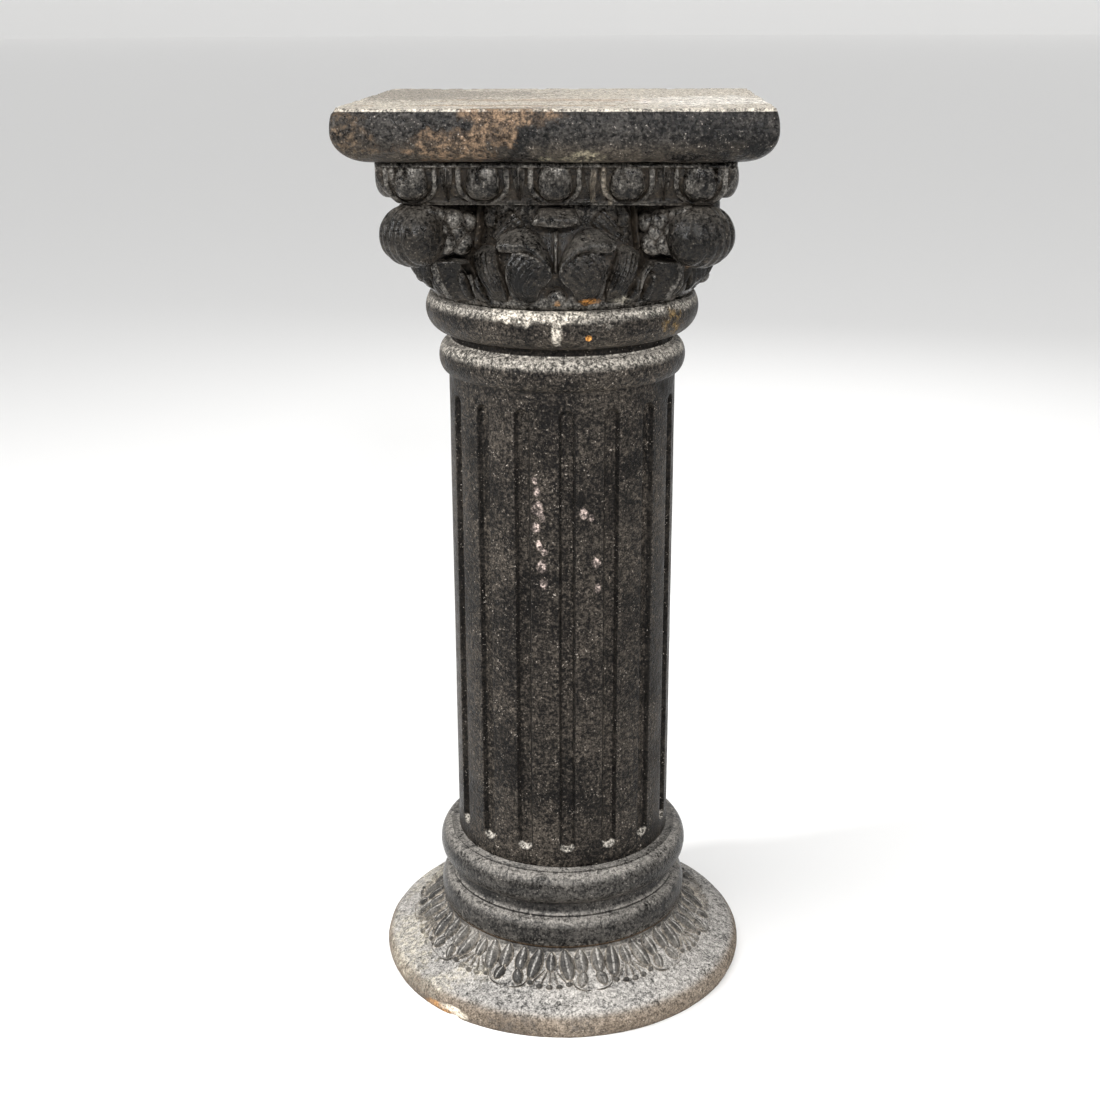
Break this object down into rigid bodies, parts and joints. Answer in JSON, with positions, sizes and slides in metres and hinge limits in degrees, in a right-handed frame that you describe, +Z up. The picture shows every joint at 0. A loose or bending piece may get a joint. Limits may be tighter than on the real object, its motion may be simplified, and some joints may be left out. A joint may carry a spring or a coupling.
{
  "type": "cast iron column",
  "caption": "Short round fluted pedestal column with a square slab, a capital of leaves, volutes and eggs, neck rings and a spreading leaf-banded foot.",
  "frame": {"origin": "centre of the underside, on the ground at the column's axis", "axes": "+Z up the column, -Y the front, along one side of the square slab"},
  "size_m": [0.3107, 0.3106, 0.7256],
  "materials": {
    "foot_iron": "worn black paint on cast iron, dusty grey and brown, bare pale patch on the front left edge",
    "base_iron": "worn black paint, grey dust on the upward faces, rusty line at the lower joint",
    "shaft_iron": "dull black paint with fine grain, pale specks and rust spots",
    "capital_iron": "thick black paint, glossy on the high places, brown dust in the recesses",
    "slab_iron": "black paint worn to grey beige on the top face and chipped along the edge"
  },
  "bodies": {
    "root": {"foot": "foot_iron", "base_mouldings": "base_iron", "shaft": "shaft_iron", "capital": "capital_iron", "top_slab": "slab_iron"}
  },
  "joints": []
}
